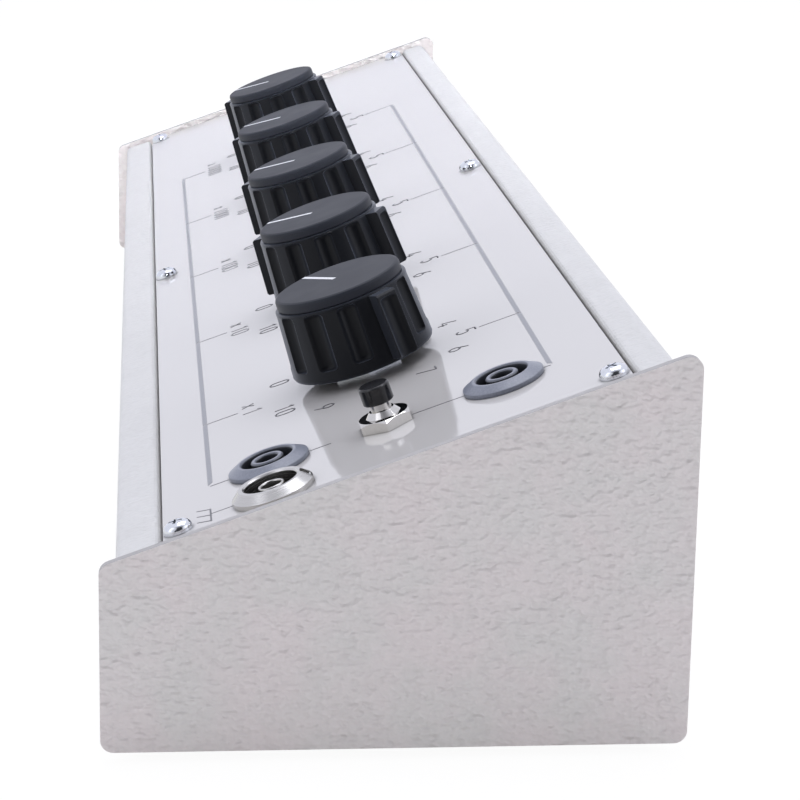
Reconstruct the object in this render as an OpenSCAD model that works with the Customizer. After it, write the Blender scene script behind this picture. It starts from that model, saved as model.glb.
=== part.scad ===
// Capacitance decade box: a sloping sheet-steel case with five switched decades, three 4 mm sockets
// and a push-button. Millimetres. X runs along the box, Y from front to back, Z up. The box stands on its feet.

/* [Case] */
// Length over the two end plates
box_l = 480; // [420:1:560]
// Depth of the end plates
box_d = 110; // [106:1:140]
// Height of an end plate at its front edge
front_h = 36; // [34:1:50]
// Height of an end plate at its rear edge
rear_h = 76; // [66:1:90]
// Thickness of an end plate
plate_t = 2; // [1.5:0.5:3]
// Corner radius of an end plate
plate_r = 2.5; // [1:0.5:4]
// How far the end plates stand out past the front and rear walls
plate_lip = 3; // [1:0.5:5]
// How far the end plates stand above the panel face
plate_over = 1.5; // [0.5:0.5:2.5]
// How far the end plates reach below the base
base_lip = 2; // [0:0.5:3]
// Sheet thickness of the folded case
sheet_t = 1.2; // [0.9:0.1:1.4]
// Outside radius of the folds
fold_r = 2.2; // [1.8:0.1:3]
// Inside radius of the step down to the ledges
step_r = 0.2; // [0.1:0.05:0.25]
// Width of the ledge under each long edge of the panel
ledge_w = 8; // [7:0.5:9]
// Gap between the folded case and the end plates
case_gap = 0.4; // [0.2:0.1:0.8]
// Height of the tabs that the end plates are welded to
tab_h = 12; // [8:1:16]
// Distance of the tabs from the front and rear walls
tab_side = 15; // [10:1:25]

/* [Panel] */
// Width of the panel along the slope
panel_w = 92; // [88:0.5:96]
// Thickness of the panel
panel_t = 2; // [1.9:0.1:2.5]
// Corner radius of the panel
panel_r = 1; // [0.5:0.5:3]
// Gap between the panel and the case along its long edges
panel_gap = 0.7; // [0.4:0.1:1]
// Gap between the panel and the end plates
panel_end_gap = 0.3; // [0.2:0.1:0.6]
// Shank diameter of the panel screws
screw_d = 3; // [2.5:0.5:3]
// Head diameter of the panel screws
screw_head_d = 5.7; // [5:0.1:5.9]
// Head height of the panel screws
screw_head_h = 2.1; // [1.6:0.1:2.4]
// Length of the panel screws under the head
screw_l = 8; // [6:1:12]
// Distance of the end screws from the outer face of the end plates
screw_end = 10; // [8:0.5:14]
// Distance of the screws from the long edges of the panel
screw_edge = 3.1; // [3:0.1:3.5]

/* [Knobs and switches] */
// Number that each knob points to, right to left
dial = [1, 0, 0, 0, 0]; // [0:1:10]
// Distance of the first knob from the outer face of the right end plate
knob_first = 78; // [74:1:84]
// Distance from knob to knob
knob_pitch = 75; // [70:1:80]
// Diameter of a knob at its skirt
knob_d = 30.8; // [30.2:0.2:33]
// Diameter of a knob under its cap
knob_top_d = 28.7; // [28:0.1:30]
// Height of the knob's skirt above the panel
knob_lift = 2.3; // [1.5:0.1:3]
// Height of the knob body
knob_h = 15.2; // [13:0.2:17]
// Wall thickness of the knob's skirt
knob_wall = 2.6; // [2.2:0.1:3]
// Number of finger flutes between the two wings, on each side
flute_n = 5; // [3:1:6]
// Radius of a finger flute
flute_r = 2.6; // [2:0.1:3]
// Depth of a finger flute
flute_depth = 1.4; // [0.8:0.1:1.6]
// Corner radius at the ends of a finger flute
flute_end = 0.9; // [0.3:0.1:1.5]
// Height of a flute's foot above the skirt's edge
flute_foot = 2.8; // [2:0.1:5]
// Thickness of the rim left above the flutes and wings
flute_rim = 0.3; // [0.2:0.1:1]
// Reach of a wing from the knob's axis, at its foot
wing_r = 18.2; // [17:0.1:20]
// Width of a wing
wing_w = 4.7; // [3:0.1:5]
// Height of a wing's foot above the skirt's edge
wing_foot = 1.1; // [0.8:0.1:3]
// Depth of the hollow in a wing's end
wing_dip = 1; // [0.4:0.1:1.2]
// Diameter of the knob cap
cap_d = 27.2; // [25:0.1:27.4]
// Thickness of the knob cap
cap_h = 2.3; // [1.8:0.1:3]
// Seam between the knob body and its cap
cap_seam = 0.15; // [0.1:0.05:0.4]
// Depth of the knob's recess under the cap
seat_h = 2.9; // [2.4:0.1:3.2]
// Width of the rim that the cap covers
seat_w = 2; // [1.6:0.1:2.6]
// Wall of the cap's spigot
spigot_wall = 1.6; // [1:0.1:2]
// Thickness of the knob's web, which the collet nut pulls on
web_t = 2; // [1.6:0.1:2.6]
// Length of the knob's boss under its web
boss_l = 4; // [3:0.5:5]
// Wall of the knob's boss
boss_wall = 1.6; // [1.2:0.1:2.4]
// Diameter of the switch shaft
shaft_d = 6; // [5:0.5:6.5]
// Outside diameter of the collet
collet_d = 10; // [9:0.5:11]
// Width of the collet nut across its flats
collet_nut_af = 11; // [10.5:0.5:13]
// Thickness of the collet nut
collet_nut_h = 1.8; // [1.4:0.1:2.2]
// Thread diameter of the switch bushing
bush_d = 10; // [9:0.5:11]
// Height of the switch bushing above the panel
bush_h = 3.6; // [3.2:0.1:4]
// Width of the switch nut across its flats
switch_nut_af = 14; // [13:0.5:15]
// Thickness of the switch nut
switch_nut_h = 2; // [1.6:0.1:2.4]
// Diameter of the switch housing
switch_d = 26; // [24:1:30]
// Depth of the switch housing
switch_h = 10; // [9:0.5:12]
// Diameter of the switch rotor
rotor_d = 18; // [15:0.5:19]
// Thickness of the switch rotor
rotor_h = 2.4; // [1.6:0.2:3.2]
// Gap round the switch rotor
rotor_gap = 0.4; // [0.2:0.1:0.6]
// Number of switch pins
pin_n = 12; // [8:1:14]
// Width of a switch pin
pin_w = 0.8; // [0.6:0.1:1]
// Radial clearance of a turning shaft in its bushing
run_gap = 0.05; // [0.02:0.01:0.1]

/* [Decade boards] */
// Length of a board along the box
board_l = 58; // [50:1:64]
// Width of a board along the slope
board_w = 60; // [58:1:66]
// Thickness of a board
board_t = 1.6; // [1:0.2:2]
// Gap between a switch housing and its board
board_gap = 1.5; // [1:0.1:2.5]
// Length of the capacitors of each decade, right to left
capacitor_l = [5, 7.5, 10, 13, 18]; // [4:0.5:18.5]
// Distance between the rows of capacitors and between those of one row
capacitor_pitch = 19.5; // [19:0.5:22]

/* [Sockets] */
// Distance of the two plastic sockets and the button from the outer face of the right end plate
sock_end = 31; // [30:0.5:34]
// Distance of the chassis socket from the outer face of the right end plate
earth_end = 12.5; // [12:0.5:13.5]
// Distance of the sockets from the middle of the panel
sock_off = 24; // [22:0.5:26]
// Flange diameter of a plastic socket
sock_flange_d = 16.3; // [15.5:0.1:17]
// Height of the upright edge of a plastic socket's flange
sock_edge_h = 0.8; // [0.5:0.1:1.2]
// Diameter at the top of a plastic socket's flange
sock_top_d = 12; // [11.6:0.1:13.6]
// Height of the plastic sockets above the panel
sock_h = 1.9; // [1.6:0.1:2.6]
// Flange diameter of the chassis socket
earth_flange_d = 16; // [15:0.1:16.4]
// Height of the upright edge of the chassis socket's flange
earth_edge_h = 1; // [0.6:0.1:1.4]
// Diameter at the top of the chassis socket's bevel
earth_top_d = 12.6; // [12:0.1:14]
// Height of the chassis socket above the panel
earth_h = 2.5; // [2.2:0.1:3]
// Height of its contact's mouth above the panel
earth_mouth = 1.9; // [0.5:0.1:2.1]
// Thread diameter of the sockets
sock_thread_d = 12; // [12:0.1:12.4]
// Bore of the contacts, for 4 mm plugs
plug_d = 4.05; // [4.02:0.01:4.1]
// Wall thickness of a contact
contact_wall = 0.55; // [0.4:0.05:0.6]
// Wall thickness of the sleeve round a contact
sleeve_wall = 0.7; // [0.5:0.05:0.9]
// Diameter of the recess round a contact
recess_d = 10.4; // [10:0.1:10.6]
// Floor thickness of that recess
recess_floor = 3; // [2:0.5:6]
// Depth of the plastic sockets under the panel face
sock_depth = 24; // [20:1:26]
// Depth of the chassis socket under the panel face
earth_depth = 20; // [18:1:24]
// Width of the solder tags
tag_w = 4; // [3:0.5:5]
// Thickness of the solder tags
tag_t = 0.8; // [0.5:0.1:1]
// Length of the solder tags
tag_l = 8; // [6:1:10]
// Width of the socket nuts across their flats
sock_nut_af = 14; // [13.6:0.1:14]
// Thickness of the socket nuts
sock_nut_h = 2.5; // [2:0.1:3]

/* [Push-button] */
// Thread diameter of the button's bushing
button_d = 7; // [6.5:0.1:7.5]
// Height of the bushing above the panel
button_bush_h = 3.3; // [3:0.1:3.6]
// Diameter at the top of the bushing's cone
button_cone_d = 5; // [4.8:0.1:6]
// Width of the button's nut across its flats
button_nut_af = 10; // [9:0.5:11]
// Thickness of the button's nut
button_nut_h = 2.2; // [1.8:0.1:2.4]
// Diameter of the button's plunger
plunger_d = 4.2; // [3.8:0.1:4.4]
// Diameter of the button's cap
button_cap_d = 6.2; // [5.6:0.1:7]
// Height of the button's cap
button_cap_h = 3.6; // [3:0.1:5]
// Travel of the button
button_travel = 1.3; // [1:0.1:2]
// Depth of the button's housing under the panel face
button_depth = 16; // [14:1:20]
// Wall thickness of the button's housing
button_wall = 1.6; // [1.2:0.1:2]
// Mean diameter of the button's spring
spring_d = 4.8; // [4.4:0.1:5.4]
// Wire diameter of the button's spring
spring_wire = 0.5; // [0.4:0.1:0.6]
// Turns of the button's spring
spring_turns = 5; // [4:1:6]

/* [Wiring] */
// Diameter of the bus wires and of the earth wire
wire_d = 1.2; // [0.8:0.1:1.6]
// Distance of the bus wires from the long edges of the boards
bus_edge = 2.5; // [2:0.5:4]
// Thickness of the earth wire's lug
lug_t = 0.8; // [0.6:0.1:1.2]

/* [Feet] */
// Diameter of a foot
foot_d = 12; // [10:1:16]
// Depth of the screw head's recess in a foot
foot_sink = 2; // [1.5:0.1:2.2]
// How far the feet reach below the end plates
foot_drop = 2; // [1:0.5:3]
// Distance of the feet from the ends of the box
foot_end = 20; // [16:1:40]
// Distance of the feet from the front and rear edges of the end plates
foot_side = 16; // [14:1:24]
// Width of the foot nuts across their flats
foot_nut_af = 5.5; // [5.4:0.1:6]
// Thickness of the foot nuts
foot_nut_h = 2.4; // [1.8:0.1:3]
// How far the foot screws reach through their nuts
foot_screw_out = 1.3; // [0.5:0.1:2]

/* [Hidden] */
eps = 0.02;
hole_gap = 0.05;
slide_gap = 0.2;
$fn = 48;
slope = atan((rear_h - front_h) / box_d);
panel_z = foot_drop + (front_h + rear_h) / 2 - plate_over / cos(slope);
base_z = foot_drop + base_lip;
wall_y = box_d / 2 - plate_lip;
inner_l = box_l - 2 * plate_t;
case_l = inner_l - 2 * case_gap;
panel_l = inner_l - 2 * panel_end_gap;
lip_v = panel_w / 2 + panel_gap;
strip_w = wall_y / cos(slope) - lip_v;
step_in = min(step_r, (strip_w - sheet_t) / 16);
fold_out = min(fold_r, (strip_w - step_in - sheet_t) * tan((90 - slope) / 2));
screw_u = box_l / 2 - screw_end;
screw_v = panel_w / 2 - screw_edge;
sock_u = box_l / 2 - sock_end;
earth_u = box_l / 2 - earth_end;
knobs = [0:len(dial) - 1];
knob_top = knob_lift + knob_h;
knob_r = knob_d / 2;
knob_top_r = knob_top_d / 2;
knob_edge = 0.8;
knob_lean = (knob_r - knob_top_r) / (knob_h - knob_edge - 0.5);
cap_z = knob_top + cap_seam;
cap_r = cap_d / 2;
seat_r = cap_r - seat_w;
collet_top = knob_top - seat_h;
skirt_r = knob_top_r - knob_wall;
boss_r = collet_d / 2 + boss_wall;
web_z = collet_top - web_t;
shaft_top = collet_top + collet_nut_h - 0.2;
housing_floor = 1;
rotor_z = panel_t + (switch_h + rotor_h) / 2;
board_z = panel_t + switch_h + board_gap;
board_under = board_z + board_t;
wire_r = wire_d / 2;
bus_v = board_w / 2 - bus_edge;
capacitor_h = [for (l = capacitor_l) 3 + l * 0.6];
capacitor_w = [for (l = capacitor_l) 2 + l * 0.4];
contact_r = plug_d / 2 + contact_wall;
sleeve_r = contact_r + hole_gap + sleeve_wall;
stub_l = 2;
collar_r = button_d / 2 + 0.1;
collar_h = 1.5;
chamber_r = collar_r + slide_gap;
chamber_top = panel_t + 1;
button_pin = [tag_t, 1.2, 3];
button_pin_v = 2.5;
button_stop = 0.2;
button_top = button_bush_h + button_stop + button_travel + button_cap_h;
lead_l = 2.5;
spring_r = spring_d / 2;
foot_h = foot_drop + base_lip;
foot_x = box_l / 2 - foot_end;
foot_y = box_d / 2 - foot_side;

// Places things in the panel's own frame: x along the box, y up the slope, z out of the panel face
module on_panel() {
    translate([0, 0, panel_z])
        rotate([slope, 0, 0])
            children();
}

// Panel coordinates of a side view as [y, z] of the box
function side(v, w) = [v * cos(slope) - w * sin(slope), panel_z + v * sin(slope) + w * cos(slope)];
function unit(a) = a / norm(a);

// Place of knob i along the box
function knob_u(i) = box_l / 2 - knob_first - i * knob_pitch;

// Height of the panel face's plane, moved by w along its normal, at a depth y
function slope_z(y, w) = panel_z + (w + y * sin(slope)) / cos(slope);

// Corner of a polygon rounded with a radius: its centre, and where the round meets the sides
function fillet(a, b, c, r) =
    let (u = unit(a - b), v = unit(c - b), half = acos(u * v) / 2, k = r / tan(half))
    [b + unit(u + v) * r / sin(half), b + u * k, b + v * k];

// Convex polygon with round corners, grown by a distance
module rounded(p, r, grow = 0) {
    n = len(p);
    f = [for (i = [0:n - 1]) fillet(p[(i + n - 1) % n], p[i], p[(i + 1) % n], r)];
    polygon([for (q = f) each [q[0] + unit(q[1] - q[0]) * (r + grow), q[0] + unit(q[2] - q[0]) * (r + grow)]]);
    for (q = f)
        translate(q[0])
            circle(r + grow);
}

// Points along an arc about c
function arc_at(c, r, a0, a1, n = 4) =
    [for (i = [0:n]) let (a = a0 + (a1 - a0) * i / n) c + r * [cos(a), sin(a)]];

// Extrudes a side view along the box
module along_box(l) {
    translate([-l / 2, 0, 0])
        rotate([90, 0, 90])
            linear_extrude(l)
                children();
}

// Outer corners of the folded case in side view
wall_corners = [[-wall_y, base_z], [wall_y, base_z],
                [wall_y, slope_z(wall_y, 0)], [-wall_y, slope_z(-wall_y, 0)]];

// Step from the strip down to the ledge, as an outline in panel coordinates for the rear side
module ledge_outline() {
    t = sheet_t;
    outer = step_in + t;
    lap = t / 4;
    polygon(concat([[lip_v + outer + lap, 0]],
                   arc_at([lip_v + outer, -outer], outer, 90, 180),
                   arc_at([lip_v - step_in, step_in - panel_t], step_in, 0, -90, 2),
                   [[lip_v - ledge_w, -panel_t], [lip_v - ledge_w, -panel_t - t]],
                   arc_at([lip_v - step_in, step_in - panel_t], outer, -90, 0),
                   arc_at([lip_v + outer, -outer], step_in, 180, 90, 2),
                   [[lip_v + outer + lap, -t]]));
}

module case_body() {
    opening = lip_v + step_in + sheet_t;
    color([0.88, 0.88, 0.89])
        difference() {
            union() {
                along_box(case_l)
                    difference() {
                        rounded(wall_corners, fold_out);
                        rounded(wall_corners, fold_out, -sheet_t);
                        translate([0, panel_z])
                            rotate(slope)
                                translate([-opening, -2 * sheet_t])
                                    square([2 * opening, 3 * sheet_t]);
                    }
                along_box(case_l)
                    translate([0, panel_z])
                        rotate(slope)
                            for (s = [0, 1])
                                mirror([s, 0])
                                    ledge_outline();
                for (s = [-1, 1])
                    translate([s * (inner_l - sheet_t) / 2, 0, base_z + (sheet_t + tab_h) / 2])
                        cube([sheet_t, 2 * (wall_y - tab_side), sheet_t + tab_h], center = true);
            }
            on_panel()
                for (x = [-screw_u, 0, screw_u], y = [-screw_v, screw_v])
                    translate([x, y, -panel_t - 2 * sheet_t])
                        cylinder(h = 3 * sheet_t, d = screw_d);
            for (x = [-foot_x, foot_x], y = [-foot_y, foot_y])
                translate([x, y, base_z - 1])
                    cylinder(h = sheet_t + 2, d = screw_d + 2 * slide_gap);
        }
}

// End plate, its outer face at x
module end_plate(x) {
    translate([x, 0, 0])
        along_box(plate_t)
            rounded([[-box_d / 2, foot_drop], [box_d / 2, foot_drop],
                     [box_d / 2, foot_drop + rear_h], [-box_d / 2, foot_drop + front_h]], plate_r);
}

module left_end_plate() {
    color([0.80, 0.79, 0.80])
        end_plate(-(box_l - plate_t) / 2);
}

module right_end_plate() {
    color([0.80, 0.79, 0.80])
        end_plate((box_l - plate_t) / 2);
}

module control_panel() {
    color([0.90, 0.90, 0.92])
        on_panel()
            difference() {
                translate([0, 0, -panel_t])
                    linear_extrude(panel_t)
                        rounded([[-panel_l, -panel_w] / 2, [panel_l, -panel_w] / 2,
                                 [panel_l, panel_w] / 2, [-panel_l, panel_w] / 2], panel_r);
                for (x = [-screw_u, 0, screw_u], y = [-screw_v, screw_v])
                    panel_hole(x, y, screw_d + 0.3);
                for (i = knobs)
                    panel_hole(knob_u(i), 0, bush_d + slide_gap);
                for (y = [-sock_off, sock_off])
                    panel_hole(sock_u, y, sock_thread_d + slide_gap);
                panel_hole(earth_u, -sock_off, sock_thread_d + slide_gap);
                panel_hole(sock_u, 0, button_d + slide_gap);
            }
}

module panel_hole(x, y, d) {
    translate([x, y, -panel_t - 1])
        cylinder(h = panel_t + 2, d = d);
}

// Pan-head screw, head up from z = 0
module pan_screw(l, head_d, head_h) {
    rotate_extrude()
        polygon([[0, -l], [screw_d / 2 - hole_gap, -l], [screw_d / 2 - hole_gap, 0], [head_d / 2, 0],
                 [head_d / 2, head_h * 0.35], [head_d * 0.45, head_h * 0.68], [head_d * 0.34, head_h * 0.9],
                 [head_d * 0.2, head_h], [0, head_h]]);
}

module panel_screws() {
    color([0.75, 0.76, 0.78])
        on_panel()
            for (x = [-screw_u, 0, screw_u], y = [-screw_v, screw_v])
                translate([x, y, 0])
                    pan_screw(screw_l, screw_head_d, screw_head_h);
}

// Runs its children at each foot
module at_feet() {
    for (x = [-foot_x, foot_x], y = [-foot_y, foot_y])
        translate([x, y, 0])
            children();
}

module feet() {
    color([0.08, 0.08, 0.08])
        at_feet()
            rotate_extrude()
                polygon([[screw_d / 2 + slide_gap, foot_sink], [screw_head_d / 2 + 0.6, foot_sink],
                         [screw_head_d / 2 + 0.6, 0], [foot_d / 2 - 1, 0], [foot_d / 2 - 0.5, 0.5],
                         [foot_d / 2, foot_h], [screw_d / 2 + slide_gap, foot_h]]);
}

// Height that a foot's nut stands on, which is the lug's top at the earth wire's foot
function nut_seat(x, y) = foot_h + sheet_t + (x > 0 && y < 0 ? lug_t : 0);

module foot_screws() {
    reach = foot_h + sheet_t + lug_t + foot_nut_h + foot_screw_out - foot_sink;
    color([0.75, 0.76, 0.78])
        at_feet()
            translate([0, 0, foot_sink])
                rotate([180, 0, 0])
                    pan_screw(reach, screw_head_d, foot_sink - 0.4);
}

// Hexagon nut with a plain bore, standing on z = 0
module nut(af, h, d) {
    difference() {
        cylinder(h = h, d = af / cos(30), $fn = 6);
        translate([0, 0, -1])
            cylinder(h = h + 2, d = d + 2 * hole_gap);
    }
}

module foot_nuts() {
    color([0.75, 0.76, 0.78])
        for (x = [-foot_x, foot_x], y = [-foot_y, foot_y])
            translate([x, y, nut_seat(x, y)])
                nut(foot_nut_af, foot_nut_h, screw_d);
}

// Puts children at knob i, turned so that x points along its line
module at_knob(i) {
    on_panel()
        translate([knob_u(i), 0, 0])
            rotate(240 - dial[i] * 30)
                children();
}

// Radius of the knob's outside at a height above the panel
function knob_at(z) = knob_r - knob_lean * (z - knob_lift - knob_edge);

// Knob body with its two wings along the pointer line and closed finger flutes between them
module knob_body(i) {
    low = knob_lift + flute_foot;
    foot = knob_lift + wing_foot;
    high = knob_top - flute_rim;
    out = wing_r - knob_r;
    color([0.16, 0.16, 0.18])
        at_knob(i)
            difference() {
                union() {
                    rotate_extrude($fn = 96)
                        polygon([[collet_d / 2, web_z - boss_l], [boss_r, web_z - boss_l], [boss_r, web_z],
                                 [skirt_r, web_z], [skirt_r + 0.6, knob_lift], [knob_r - 0.8, knob_lift],
                                 [knob_r - 0.2, knob_lift + 0.3], [knob_r, knob_lift + knob_edge],
                                 [knob_top_r, knob_top - 0.5], [knob_top_r - 0.15, knob_top - 0.15],
                                 [knob_top_r - 0.5, knob_top], [seat_r, knob_top], [seat_r, collet_top],
                                 [collet_d / 2, collet_top]]);
                    for (s = [0, 180])
                        rotate([90, 0, s])
                            linear_extrude(wing_w, center = true)
                                polygon([[knob_top_r - knob_wall / 2, foot], [knob_at(foot) + out - 0.4, foot],
                                         [knob_at(foot + 0.4) + out, foot + 0.4],
                                         [knob_at(high - 0.4) + out, high - 0.4],
                                         [knob_at(high) + out - 0.4, high], [knob_top_r - knob_wall / 2, high]]);
                }
                for (s = [0, 180]) {
                    for (k = [1:flute_n])
                        rotate(s + k * 180 / (flute_n + 1))
                            flute(knob_at(low) + flute_r - flute_depth, low, high);
                    rotate(s)
                        flute(knob_at(foot - 1) + out + flute_r - wing_dip, foot - 1, high - 0.7);
                }
            }
}

// Cutter of one finger flute, a pin with rounded edges that leans with the knob's side, its axis at r at the foot
module flute(r, low, high) {
    lean = atan(knob_lean);
    l = (high - low) / cos(lean);
    edge = flute_r - flute_end;
    translate([r, 0, low])
        rotate([0, -lean, 0])
            rotate_extrude($fn = 32)
                polygon(concat([[0, 0]], arc_at([edge, flute_end], flute_end, -90, 0),
                               arc_at([edge, l - flute_end], flute_end, 0, 90), [[0, l]]));
}

module knob_cap(i) {
    top = cap_z + cap_h;
    color([0.30, 0.31, 0.34])
        at_knob(i)
            rotate_extrude($fn = 96)
                polygon([[0, cap_z], [seat_r - spigot_wall, cap_z], [seat_r - spigot_wall, collet_top + 0.4],
                         [seat_r - hole_gap, collet_top + 0.4], [seat_r - hole_gap, cap_z], [cap_r - 0.15, cap_z],
                         [cap_r, cap_z + 0.15], [cap_r, top - 0.7], [cap_r - 0.2, top - 0.2],
                         [cap_r - 0.7, top], [0, top]]);
}

// Collet that grips the shaft, with its clamping nut on top
module knob_collet(i) {
    foot = bush_h + 0.6;
    color([0.80, 0.65, 0.35])
        at_knob(i)
            difference() {
                union() {
                    translate([0, 0, foot])
                        cylinder(h = collet_top - foot, r = collet_d / 2 - hole_gap);
                    translate([0, 0, collet_top])
                        cylinder(h = collet_nut_h, d = collet_nut_af / cos(30), $fn = 6);
                }
                translate([0, 0, foot - 1])
                    cylinder(h = collet_top + collet_nut_h - foot + 2, d = shaft_d + 2 * hole_gap);
            }
}

module switch_shaft(i) {
    color([0.75, 0.76, 0.78])
        at_knob(i) {
            translate([0, 0, -panel_t - switch_h + housing_floor])
                cylinder(h = shaft_top + panel_t + switch_h - housing_floor, d = shaft_d);
            translate([0, 0, -rotor_z])
                difference() {
                    cylinder(h = rotor_h, d = rotor_d);
                    translate([rotor_d / 2, 0, -1])
                        cylinder(h = rotor_h + 2, r = 1.2);
                }
        }
}

module switch_housing(i) {
    color([0.12, 0.12, 0.13])
        on_panel()
            translate([knob_u(i), 0, 0]) {
                difference() {
                    union() {
                        translate([0, 0, -panel_t])
                            cylinder(h = panel_t + bush_h, d = bush_d);
                        translate([0, 0, -panel_t - switch_h])
                            cylinder(h = switch_h, d = switch_d);
                    }
                    translate([0, 0, -panel_t - switch_h + housing_floor - slide_gap])
                        cylinder(h = switch_h + panel_t + bush_h, d = shaft_d + 2 * run_gap);
                    translate([0, 0, -rotor_z - rotor_gap])
                        cylinder(h = rotor_h + 2 * rotor_gap, d = rotor_d + 2 * rotor_gap);
                }
                for (k = [1:pin_n])
                    rotate(k * 360 / pin_n)
                        translate([switch_d / 2 - 2, 0, -panel_t - switch_h - board_gap / 2])
                            cube([pin_w, pin_w, board_gap], center = true);
            }
}

module switch_nuts() {
    color([0.75, 0.76, 0.78])
        on_panel()
            for (i = knobs)
                translate([knob_u(i), 0, 0])
                    nut(switch_nut_af, switch_nut_h, bush_d);
}

module decade_board(i) {
    color([0.10, 0.35, 0.20])
        on_panel()
            translate([knob_u(i), 0, -board_under])
                linear_extrude(board_t)
                    square([board_l, board_w], center = true);
}

module capacitors(i) {
    color([0.75, 0.20, 0.12])
        on_panel()
            for (x = [-0.5, 0.5], y = [-0.5, 0.5])
                translate([knob_u(i) + x * capacitor_pitch, y * capacitor_pitch, -board_under - capacitor_h[i] / 2])
                    cube([capacitor_l[i], capacitor_w[i], capacitor_h[i]], center = true);
}

// Flange, threaded barrel and recess shared by the sockets, as a half outline from the recess to the barrel's end
function socket_outline(flange_d, edge_h, top_d, h, depth) =
    [[sock_thread_d / 2, -depth], [sock_thread_d / 2, 0], [flange_d / 2, 0], [flange_d / 2, edge_h],
     [top_d / 2, h], [recess_d / 2 + 0.3, h], [recess_d / 2, h - 0.3]];

module safety_socket(v) {
    tip = sock_h - 0.1;
    shelf = sock_depth - recess_floor;
    color([0.45, 0.48, 0.56])
        on_panel()
            translate([sock_u, v, 0])
                rotate_extrude($fn = 64)
                    polygon(concat(socket_outline(sock_flange_d, sock_edge_h, sock_top_d, sock_h, sock_depth),
                                   [[recess_d / 2, -shelf], [sleeve_r, -shelf], [sleeve_r, tip - 0.3],
                                    [sleeve_r - 0.3, tip], [plug_d / 2 + 0.45, tip],
                                    [plug_d / 2 + slide_gap, tip - 0.25], [plug_d / 2 + slide_gap, -1],
                                    [contact_r + hole_gap, -1], [contact_r + hole_gap, -sock_depth]]));
}

module front_socket() {
    safety_socket(-sock_off);
}

module rear_socket() {
    safety_socket(sock_off);
}

// Contact tube with a round lip, a closed end and a solder tag, its mouth at z = mouth
module contact(mouth, depth) {
    lip = contact_wall / 2;
    rotate_extrude()
        polygon(concat([[0, -depth - stub_l], [contact_r, -depth - stub_l]],
                       arc_at([contact_r - lip, mouth - lip], lip, 0, 180),
                       [[plug_d / 2, -depth], [0, -depth]]));
    translate([-tag_t / 2, -tag_w / 2, -depth - stub_l - tag_l])
        cube([tag_t, tag_w, tag_l + eps]);
}

module socket_contact(v) {
    color([0.80, 0.65, 0.35])
        on_panel()
            translate([sock_u, v, 0])
                contact(-1, sock_depth);
}

module front_contact() {
    socket_contact(-sock_off);
}

module rear_contact() {
    socket_contact(sock_off);
}

module chassis_socket() {
    shelf = earth_depth - 2 * recess_floor;
    notch = [2, 3, 1.6];
    color([0.80, 0.80, 0.79])
        on_panel()
            translate([earth_u, -sock_off, 0])
                difference() {
                    rotate_extrude($fn = 64)
                        polygon(concat(socket_outline(earth_flange_d, earth_edge_h, earth_top_d, earth_h, earth_depth),
                                       [[recess_d / 2, -shelf], [contact_r + hole_gap, -shelf],
                                        [contact_r + hole_gap, -earth_depth]]));
                    translate([0, earth_flange_d / 2 - 0.6, earth_h - 0.4])
                        cube(notch, center = true);
                }
}

module chassis_contact() {
    color([0.78, 0.78, 0.76])
        on_panel()
            translate([earth_u, -sock_off, 0])
                contact(earth_mouth, earth_depth);
}

module socket_nuts() {
    color([0.75, 0.76, 0.78])
        on_panel()
            for (p = [[sock_u, sock_off], [sock_u, -sock_off], [earth_u, -sock_off]])
                translate([p.x, p.y, -panel_t - sock_nut_h])
                    rotate(30)
                        nut(sock_nut_af, sock_nut_h, sock_thread_d);
}

module button_bushing() {
    color([0.80, 0.80, 0.79])
        on_panel()
            translate([sock_u, 0, 0]) {
                difference() {
                    union() {
                        translate([0, 0, -panel_t])
                            cylinder(h = panel_t + button_nut_h, d = button_d);
                        translate([0, 0, button_nut_h])
                            cylinder(h = button_bush_h - button_nut_h, d1 = button_d, d2 = button_cone_d);
                        translate([0, 0, -button_depth])
                            cylinder(h = button_depth - panel_t, r = chamber_r + button_wall);
                    }
                    translate([0, 0, -chamber_top - 1])
                        cylinder(h = chamber_top + button_bush_h + 2, d = plunger_d + 2 * run_gap);
                    translate([0, 0, button_wall - button_depth])
                        cylinder(h = button_depth - button_wall - chamber_top, r = chamber_r);
                }
                for (y = [-button_pin_v, button_pin_v])
                    translate([0, y, -button_depth - button_pin.z / 2])
                        cube(button_pin, center = true);
            }
}

// Nut with its upper corners turned down to a round face
module button_nut() {
    face_r = button_nut_af / 2 - 0.05;
    past_r = face_r + 1.3;
    color([0.80, 0.80, 0.79])
        on_panel()
            translate([sock_u, 0, 0])
                intersection() {
                    nut(button_nut_af, button_nut_h, button_d);
                    rotate_extrude()
                        polygon([[0, -1], [past_r, -1], [past_r, button_nut_h - 0.9],
                                 [face_r, button_nut_h], [0, button_nut_h]]);
                }
}

module button_plunger() {
    color([0.82, 0.82, 0.82])
        on_panel()
            translate([sock_u, 0, 0])
                rotate_extrude()
                    polygon([[0, -chamber_top - collar_h - 3], [1.2, -chamber_top - collar_h - 3],
                             [1.2, -chamber_top - collar_h], [collar_r, -chamber_top - collar_h],
                             [collar_r, -chamber_top], [plunger_d / 2, -chamber_top],
                             [plunger_d / 2, button_top - 1], [0, button_top - 1]]);
}

module button_cap() {
    r = button_cap_d / 2;
    low = button_top - button_cap_h;
    color([0.07, 0.07, 0.08])
        on_panel()
            translate([sock_u, 0, 0])
                rotate_extrude()
                    polygon([[plunger_d / 2, low], [r - 0.2, low], [r, low + 0.2], [r, button_top - 0.3],
                             [r - 0.3, button_top], [0, button_top], [0, button_top - 1],
                             [plunger_d / 2, button_top - 1]]);
}

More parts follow.
